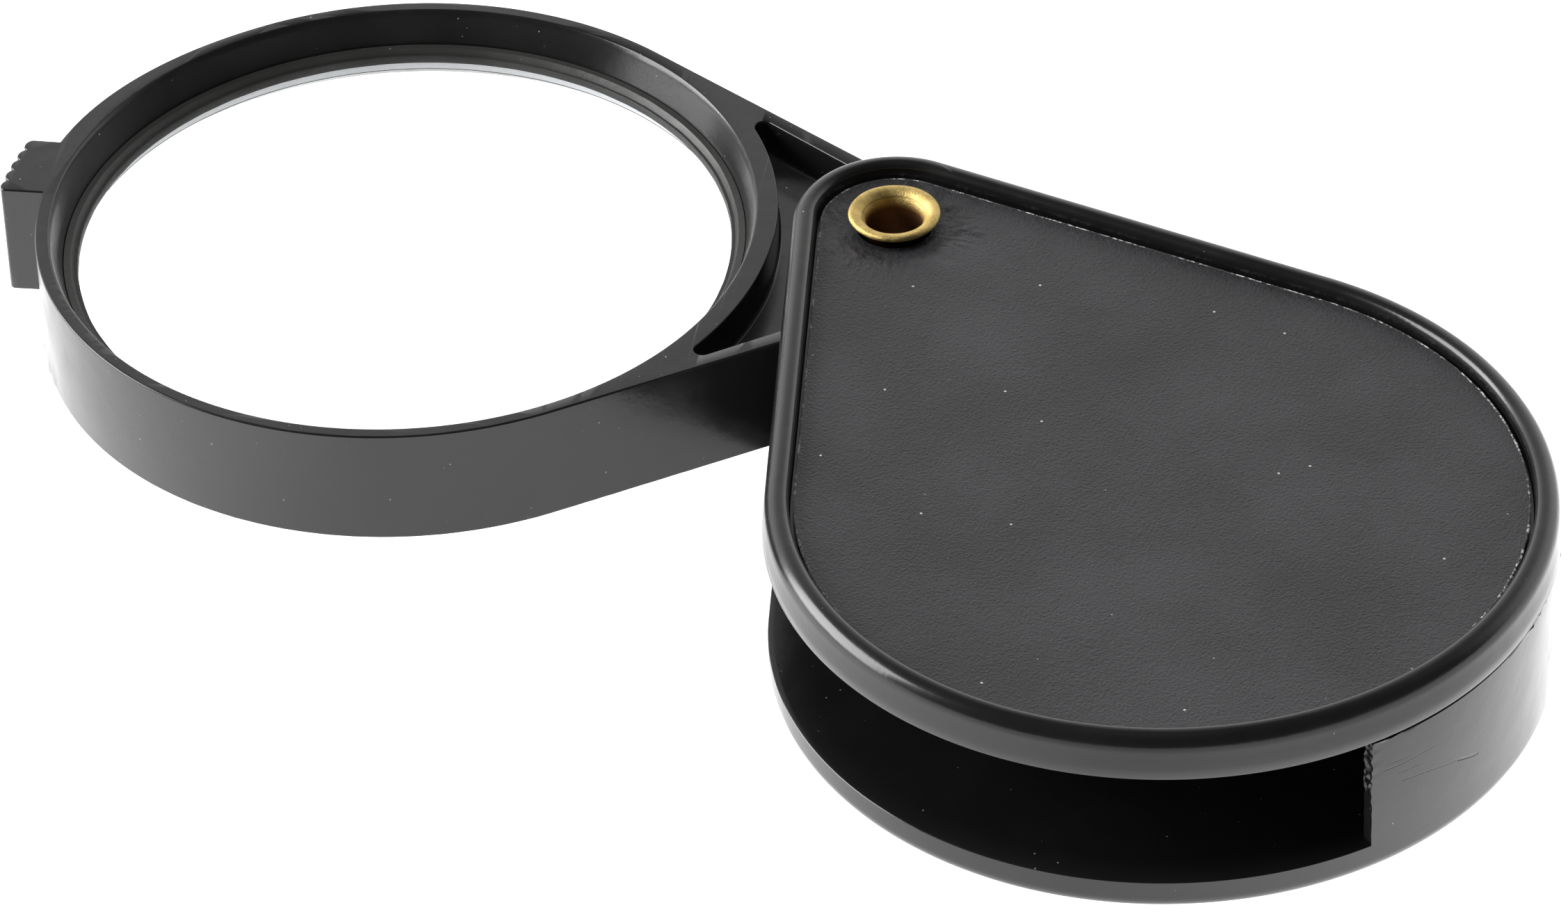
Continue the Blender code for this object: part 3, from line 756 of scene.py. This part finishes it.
def sheet_mesh(name, inset, top, thickness, dimple, flip):
    """A die-cut sheet inside a rim. Its edge faces take the second material.

    flip turns it over in place, for the sheet that faces down.
    """
    edge_width = 0.18
    cut = []
    for p in case_ring(inset, 0):
        jag = 0.05 * wobble(p, 0.8, 3.0) + 0.02 * wobble(p, 4.0, 1.0)
        cut.append(Vector((p.x, p.y)) * (1 + jag / p.length))
    flat = teardrop(inset + edge_width)
    rings = [[Vector((p.x, p.y, top - thickness)) for p in cut],
             [Vector((p.x, p.y, top - 0.05)) for p in cut],
             [Vector((p.x, p.y, top + 0.01)) for p in [a.lerp(b, 0.4) for a, b in zip(cut, flat)]],
             [Vector((p.x, p.y, top)) for p in flat]]
    steps = 64
    for k in range(1, steps + 1):
        share = 1 - (1 - k / steps) ** 2
        ring = [p.lerp(p.normalized() * (PIVOT_HOLE_R + 0.1), share) for p in flat]
        rings.append([Vector((q.x, q.y, sheet_height(q.x, q.y, top, dimple))) for q in ring])
    under = top - max(thickness, dimple + 0.2)
    rings.append([Vector((p.x, p.y, under)) for p in rings[-1]])
    rings.append([p.copy() for p in rings[0]])
    bm = bmesh.new()
    made = loft(bm, rings)
    for low, high in zip(made[0:3], made[1:4]):
        both = set(low) | set(high)
        for face in {f for v in low for f in v.link_faces if both.issuperset(f.verts)}:
            face.material_index = 1
    bmesh.ops.remove_doubles(bm, verts=made[0] + made[-1], dist=1e-4)
    if flip:
        for vert in bm.verts:
            vert.co.z = 2 * (top - thickness / 2) - vert.co.z
    return finish_mesh(name, bm, CASE)


def eyelet_mesh():
    """Brass tube flared out like a trumpet above the sheet and clinched over under the case."""
    top = level("pivot_eyelet", 1)
    low = level("pivot_eyelet", 0)
    clinch_z = LOW_SHEET_Z - 0.05
    lip_z = top - FLANGE_LIP
    funnel_z = top - FUNNEL_DEPTH
    funnel_steps, roll_steps = 16, 8
    profile = [(BORE_R, funnel_z - 0.6)]
    for i in range(funnel_steps + 1):
        a = math.pi / 2 * i / funnel_steps
        profile.append((FLANGE_CREST_R - (FLANGE_CREST_R - BORE_R) * math.cos(a) ** 0.9,
                        funnel_z + FUNNEL_DEPTH * math.sin(a) ** 1.15))
    for i in range(1, roll_steps + 1):
        a = math.pi * i / roll_steps
        profile.append((FLANGE_CREST_R + (FLANGE_R - FLANGE_CREST_R) * math.sin(a),
                        lip_z + (top - lip_z) * math.cos(a)))
    profile += [(BARREL_R + 0.45, lip_z - 0.34), (BARREL_R + 0.17, lip_z - 0.62),
                (BARREL_R + 0.05, lip_z - 1.0), (BARREL_R, clinch_z + 0.1),
                (CLINCH_R + 0.5, clinch_z)]
    for i in range(roll_steps + 1):
        a = -math.pi * i / roll_steps
        profile.append((CLINCH_R + CLINCH_HALF * math.cos(a),
                        clinch_z + (clinch_z - low) * math.sin(a)))
    mesh = turned("brass_eyelet", profile, 160, Matrix.Identity(4))
    for vert in mesh.vertices:
        spread = 1 + 0.006 * wobble(vert.co, 0.45, 8.0)
        vert.co.x *= spread
        vert.co.y *= spread
        vert.co.z += 0.03 * wobble(vert.co, 0.5, 2.0) * (vert.co.z > SHEET_TOP_Z)
    mesh.transform(CASE)
    return mesh


# ---------------------------------------------------------------- lens frame

def frame_plan():
    """Outline of the frame: ring, swelling, ribbed thumb tab, arms and hub, anticlockwise."""
    centre = Vector((FRAME_LENGTH, 0))
    t = tangent_angle(HUB_R, RING_R, FRAME_LENGTH)
    points = arc(centre, RING_R, -t, SWELL_START)[:-1]
    swell_steps = 44
    for i in range(swell_steps + 1):
        share = i / swell_steps
        swell = SWELL * share * share * (3 - 2 * share)
        points.append(polar(centre, RING_R + swell, SWELL_START + (TAB_FOOT - SWELL_START) * share))
    flank_top = polar(centre, TAB_FLANK_R, TAB_SIDE)
    points += straight(points[-1], flank_top, 0.4)
    tab_steps = 12 * TAB_RIBS
    for i in range(tab_steps + 1):
        share = 1 - i / tab_steps
        rib = abs(math.sin(math.pi * TAB_RIBS * share)) ** 0.6
        radius = TAB_R - TAB_SLANT * share - RIB_DEPTH * (1 - rib)
        points.append(polar(centre, radius, TAB_FRONT + (TAB_SIDE - TAB_FRONT) * share))
    points += straight(points[-1], polar(centre, RING_R, TAB_FRONT), 0.4)
    points += arc(centre, RING_R, TAB_FRONT, t)
    hub = arc(Vector((0, 0)), HUB_R, t, 2 * math.pi - t)
    sides = straight(points[-1], hub[0])
    return points + sides + hub + straight(hub[-1], points[0])


def with_flash(point):
    """A lower-edge point with moulding flash: a trace all round, ragged on one stretch."""
    stretch_at, stretch_spread = 21.0, 6.0      # degrees round the ring
    reach, hang = 0.20, 0.03
    radial = Vector((point.x - FRAME_LENGTH, point.y, 0))
    angle = math.degrees(math.atan2(radial.y, radial.x))
    stretch = math.exp(-((angle - stretch_at) / stretch_spread) ** 2)
    ragged = max(0.0, 0.5 + wobble(point, 1.4, 2.0) + 0.6 * wobble(point, 4.5, 5.0))
    out = radial.normalized() * (reach * stretch * ragged)
    return point + out - Vector((0, 0, hang * max(0.0, wobble(point, 1.1, 4.0))))


def rounded_prism(name, plan, low, high, low_round, high_round, flash=False):
    """A plan pulled up between two heights, with rounded edges; a negative round flares out.

    flash adds moulding flash round the lower edge.
    """
    bm = bmesh.new()
    steps = 5
    rings = []
    r = abs(low_round)
    for i in range(steps + 1):
        a = math.pi / 2 * i / steps
        rings.append((low_round * (1 - math.sin(a)), low + r * (1 - math.cos(a))))
    count = 6
    for i in range(1, count):
        rings.append((0.0, low + r + (high - abs(high_round) - low - r) * i / count))
    r = abs(high_round)
    for i in range(steps + 1):
        a = math.pi / 2 * i / steps
        rings.append((high_round * (1 - math.cos(a)), high - r + r * math.sin(a)))
    made = []
    for inset, z in rings:
        ring = [Vector((p.x, p.y, z)) for p in offset(plan, -inset)]
        if flash and z < low + 2 * abs(low_round):
            ring = [with_flash(p) for p in ring]
        made.append(ring)
    verts = loft(bm, made)
    cap(bm, verts[0])
    cap(bm, verts[-1])
    return finish_mesh(name, bm, Matrix.Identity(4))


def pocket_plan():
    """The space between the ring, the two arms and the hub's boss, with rounded tips."""
    centre = Vector((FRAME_LENGTH, 0))
    hub = Vector((0, 0))
    t = tangent_angle(HUB_R, RING_R, FRAME_LENGTH)
    normal = polar(hub, 1.0, t)
    inner = HUB_R - ARM_THICKNESS
    tip_circle = POCKET_RING_R + POCKET_TIP_R

    def crossing(distance, about, radius, side):
        """Angle at which a circle meets the line at distance from the hinge along the arm."""
        reach = (distance - normal.dot(about)) / radius
        return math.atan2(normal.y, normal.x) + side * math.acos(reach)

    tip_angle = crossing(inner - POCKET_TIP_R, centre, tip_circle, 1)
    tip = polar(centre, tip_circle, tip_angle)
    boss_angle = crossing(inner - 0.3, hub, POCKET_BOSS_R, -1)
    upper = arc(tip, POCKET_TIP_R, tip_angle - math.pi, t, 0.12)
    boss = arc(hub, POCKET_BOSS_R, boss_angle, 0, 0.4)[:-1]
    upper += straight(upper[-1], boss[0]) + boss
    mirrored = [Vector((p.x, -p.y)) for p in reversed(upper)]
    ring_side = arc(centre, POCKET_RING_R, 2 * math.pi - tip_angle, tip_angle)[1:-1]
    return upper + [Vector((POCKET_BOSS_R, 0))] + mirrored + ring_side


def bore_mesh():
    """The lens's bore as a solid: upper bevel, seat, shoulder and lower bevel."""
    slope = (BEVEL_R - SEAT_R) / SEAT_DROP
    shoulder = LENS_EDGE_Z - LENS_EDGE - 0.04
    low = FRAME_LOW_Z - FRAME_SKIRT
    profile = [(1e-3, FRAME_TOP_Z + 1), (BEVEL_R + 0.5, FRAME_TOP_Z + 1),
               (BEVEL_R + 0.16, FRAME_TOP_Z + 0.001), (BEVEL_R + 0.06, FRAME_TOP_Z - 0.035),
               (BEVEL_R - 0.02, FRAME_TOP_Z - 0.13), (BEVEL_R - slope * 0.6, FRAME_TOP_Z - 0.6),
               (SEAT_R + 0.06, SEAT_Z + 0.16), (SEAT_R, SEAT_Z), (SEAT_R, shoulder),
               (SHOULDER_R, shoulder), (SHOULDER_R + 0.02, shoulder - 0.05),
               (LOW_BEVEL_R - 0.06, low + 0.07), (LOW_BEVEL_R + 0.04, low - 0.01),
               (LOW_BEVEL_R + 0.04, FRAME_LOW_Z - 1), (1e-3, FRAME_LOW_Z - 1)]
    return turned("bore", profile, 240, Matrix.Identity(4), Vector((FRAME_LENGTH, 0)), False)


def frame_mesh():
    """Outer body less the two pockets, the lens bore and the pivot's hole."""
    body = rounded_prism("frame_body", frame_plan(), FRAME_LOW_Z - FRAME_SKIRT, FRAME_TOP_Z,
                         0.10, 0.14, True)
    pocket = pocket_plan()
    tools = [
        rounded_prism("upper_pocket", pocket, MID_Z + WEB_HALF, FRAME_TOP_Z + 0.01, 0.3, -0.13),
        rounded_prism("lower_pocket", pocket, FRAME_LOW_Z - 0.5, MID_Z - WEB_HALF, -0.1, 0.3),
        bore_mesh(),
        turned("pivot_hole", [(1e-3, FRAME_TOP_Z + 1), (PIVOT_HOLE_R, FRAME_TOP_Z + 1),
                              (PIVOT_HOLE_R, FRAME_LOW_Z - 1), (1e-3, FRAME_LOW_Z - 1)],
               64, Matrix.Identity(4), closed=False),
    ]
    mesh = combined(body, tools, "DIFFERENCE")
    mesh.transform(LENS_FRAME)
    return mesh


def retainer_mesh():
    """Ring over the glass, its inner side sloped, slightly uneven but for its outer upper edge."""
    outer_r, inner_r = 26.12, 25.04
    top = SEAT_Z + 0.03
    profile = [(25.62, top), (outer_r, top), (outer_r, RETAINER_LOW_Z - 0.2),
               (25.15, RETAINER_LOW_Z - 0.36), (inner_r, RETAINER_LOW_Z - 0.32),
               (inner_r, RETAINER_LOW_Z + 0.05), (25.10, RETAINER_LOW_Z + 0.25),
               (25.34, SEAT_Z - 0.45), (25.56, SEAT_Z - 0.04)]
    mesh = turned("retaining_ring", profile, 288, Matrix.Identity(4))
    true_reach = math.hypot(outer_r, top) - 0.1
    for vert in mesh.vertices:
        spread = 1 + 0.0012 * wobble(vert.co, 0.6, 3.0) * (vert.co.length < true_reach)
        vert.co.x *= spread
        vert.co.y *= spread
    mesh.transform(LENS_FRAME @ Matrix.Translation((FRAME_LENGTH, 0, 0)))
    return mesh


def spherical_face(bulge, edge_z, side):
    """(radius, height) points from the middle of a face to its edge; side is 1 above, -1 below."""
    sphere = (LENS_R ** 2 + bulge ** 2) / (2 * bulge)
    points = []
    steps = 40
    for i in range(steps + 1):
        r = max(LENS_R * math.sin(math.pi / 2 * i / steps), 1e-3)
        points.append((r, edge_z + side * (bulge + math.sqrt(sphere ** 2 - r ** 2) - sphere)))
    return points


def lens_mesh():
    """Glass with two polished faces. Its ground side takes the second material."""
    upper = spherical_face(LENS_TOP_BULGE, LENS_EDGE_Z, 1)
    lower = spherical_face(LENS_BOTTOM_BULGE, LENS_EDGE_Z - LENS_EDGE, -1)
    mesh = turned("lens_glass", upper + lower[::-1], 192, LENS_FRAME,
                  Vector((FRAME_LENGTH, 0)), False)
    for face in mesh.polygons:
        face.material_index = 1 if abs(face.normal.z) < 0.5 else 0
    return mesh


# ---------------------------------------------------------------- pieces

def build_pieces():
    add_piece("case_cover", cover_mesh(), "case", ["case_top_cover"],
              [COVER_PLASTIC])
    add_piece("case_base", base_mesh(), "case", ["case_bottom_shell"],
              [CASE_PLASTIC])
    sheet = sheet_mesh("cover_sheet", SHEET_INSET, SHEET_TOP_Z, SHEET_THICKNESS, SHEET_DIMPLE,
                       False)
    add_piece("cover_sheet", sheet, "case", ["top_inlay"], [SHEET, SHEET_EDGE])
    low = sheet_mesh("base_sheet", LOW_SHEET_INSET, LOW_SHEET_Z + LOW_SHEET_THICKNESS,
                     LOW_SHEET_THICKNESS, LOW_SHEET_DIMPLE, True)
    add_piece("base_sheet", low, "case", ["bottom_inlay"], [SHEET, SHEET_EDGE])
    add_piece("brass_eyelet", eyelet_mesh(), "case", ["pivot_eyelet"], [BRASS], 50)
    add_piece("swing_frame", frame_mesh(), "lens_carrier", ["lens_frame"],
              [FRAME_PLASTIC])
    add_piece("retaining_ring", retainer_mesh(), "lens_carrier",
              ["lens_retaining_ring"], [RETAINER_PLASTIC])
    add_piece("lens_glass", lens_mesh(), "lens_carrier", ["lens"],
              [GLASS, GROUND])


# ---------------------------------------------------------------- stage, light, camera

AZIMUTH = math.radians(62.331)
ELEVATION = math.radians(37.925)
ROLL = math.radians(-1.994)
CAMERA_TARGET = Vector((3.742, -12.086, -0.551))       # from the foot of the hinge's axis
CAMERA_DISTANCE = 605.072
FOCAL_LENGTH = 183.14
SENSOR_WIDTH = 36.0
FAR_SIDE = Vector((-math.sin(AZIMUTH), math.cos(AZIMUTH), 0))
LEFT_SIDE = Vector((-math.cos(AZIMUTH), -math.sin(AZIMUTH), 0))

OVERHEAD_LEVEL = 0.025
SWEEP_LEVEL = 1.45
FLOOR_GLOW = 1.15            # the floor's light: all over, and added to the right and left
RIGHT_GLOW = 1.0
LEFT_GLOW = 0.4
FAR_FADE = 0.30              # share of it that is left away from the object


def build_stage():
    """A pale floor that glows under and beside the object and dims away from it."""
    bm = bmesh.new()
    bmesh.ops.create_grid(bm, x_segments=1, y_segments=1, size=3.0)
    mesh = bpy.data.meshes.new("floor")
    bm.to_mesh(mesh)
    bm.free()
    floor = bpy.data.objects.new("floor", mesh)
    bpy.context.scene.collection.objects.link(floor)
    floor.location.z = -0.00002
    mat, tree, shader, coords = new_material("pale_floor")
    shader.inputs["Base Color"].default_value = (0.60, 0.60, 0.60, 1)
    shader.inputs["Roughness"].default_value = 0.9
    shader.inputs["Specular IOR Level"].default_value = 0.1
    shader.inputs["Emission Color"].default_value = (1, 1, 1, 1)
    across = node(tree, "VectorMath", {0: coords, 1: -LEFT_SIDE}, operation="DOT_PRODUCT")
    across = across.outputs["Value"]
    right = math_node(tree, "MULTIPLY", ramp(tree, across, 0.015, 0.048), RIGHT_GLOW)
    left = math_node(tree, "MULTIPLY", ramp(tree, across, -0.030, -0.055), LEFT_GLOW)
    glow = math_node(tree, "ADD", math_node(tree, "ADD", left, right), FLOOR_GLOW)
    away = node(tree, "VectorMath", {0: coords}, operation="LENGTH").outputs["Value"]
    fade = node(tree, "MapRange", {"Value": ramp(tree, away, 0.060, 0.098),
                                   "To Min": 1.0, "To Max": FAR_FADE}).outputs["Result"]
    tree.links.new(math_node(tree, "MULTIPLY", glow, fade), shader.inputs["Emission Strength"])
    mesh.materials.append(mat)


def area_light(name, direction, distance, size, power):
    """A soft box that faces the origin from a direction."""
    light = bpy.data.lights.new(name, "AREA")
    light.shape = "RECTANGLE"
    light.size, light.size_y = size
    light.energy = power
    obj = bpy.data.objects.new(name, light)
    bpy.context.scene.collection.objects.link(obj)
    obj.location = direction.normalized() * distance
    obj.rotation_euler = direction.to_track_quat("Z", "Y").to_euler()
    return obj


def build_light():
    """Bright sweep behind and below, darker overhead and behind the camera, two soft boxes."""
    world = bpy.data.worlds.new("studio")
    bpy.context.scene.world = world
    world.use_nodes = True
    tree = world.node_tree
    background = tree.nodes["Background"]
    direction = node(tree, "TexCoord").outputs["Generated"]
    axes = node(tree, "SeparateXYZ", {"Vector": direction})
    height = axes.outputs["Z"]
    far = node(tree, "VectorMath", {0: direction, 1: FAR_SIDE}, operation="DOT_PRODUCT")
    behind = ramp(tree, far.outputs["Value"], -0.15, 0.45)
    low = ramp(tree, height, 0.95, 0.30)
    sweep = math_node(tree, "MULTIPLY", behind, low)
    lit = node(tree, "MapRange", {"Value": sweep, "To Min": OVERHEAD_LEVEL,
                                  "To Max": SWEEP_LEVEL}).outputs["Result"]
    seen = node(tree, "LightPath").outputs["Is Camera Ray"]
    tree.links.new(math_node(tree, "MAXIMUM", lit, seen), background.inputs["Strength"])
    background.inputs["Color"].default_value = (1, 1, 1, 1)
    top = area_light("top_box", Vector((0.05, -0.05, 1.0)), 0.9, (0.28, 0.40), 6.0)
    top.visible_glossy = False
    area_light("left_box", LEFT_SIDE + Vector((0, 0, 0.35)) + 0.15 * FAR_SIDE, 0.8,
               (0.6, 0.6), 11.0)


def build_camera():
    target = Vector((HINGE.x, HINGE.y, 0)) + CAMERA_TARGET * MM
    back = Vector((math.sin(AZIMUTH) * math.cos(ELEVATION),
                   -math.cos(AZIMUTH) * math.cos(ELEVATION), math.sin(ELEVATION)))
    level_right = (-back).cross(Vector((0, 0, 1))).normalized()
    level_up = level_right.cross(-back)
    right = math.cos(ROLL) * level_right + math.sin(ROLL) * level_up
    up = -math.sin(ROLL) * level_right + math.cos(ROLL) * level_up
    data = bpy.data.cameras.new("camera")
    data.sensor_width = SENSOR_WIDTH
    data.lens = FOCAL_LENGTH
    data.clip_start = 0.01
    data.clip_end = 20.0
    camera = bpy.data.objects.new("camera", data)
    bpy.context.scene.collection.objects.link(camera)
    matrix = Matrix((right, up, back)).transposed().to_4x4()
    matrix.translation = target + back * CAMERA_DISTANCE * MM
    camera.matrix_world = matrix
    bpy.context.scene.camera = camera


build_pieces()
build_stage()
build_light()
build_camera()
bpy.context.scene.view_settings.view_transform = "Standard"

bpy.context.view_layer.update()
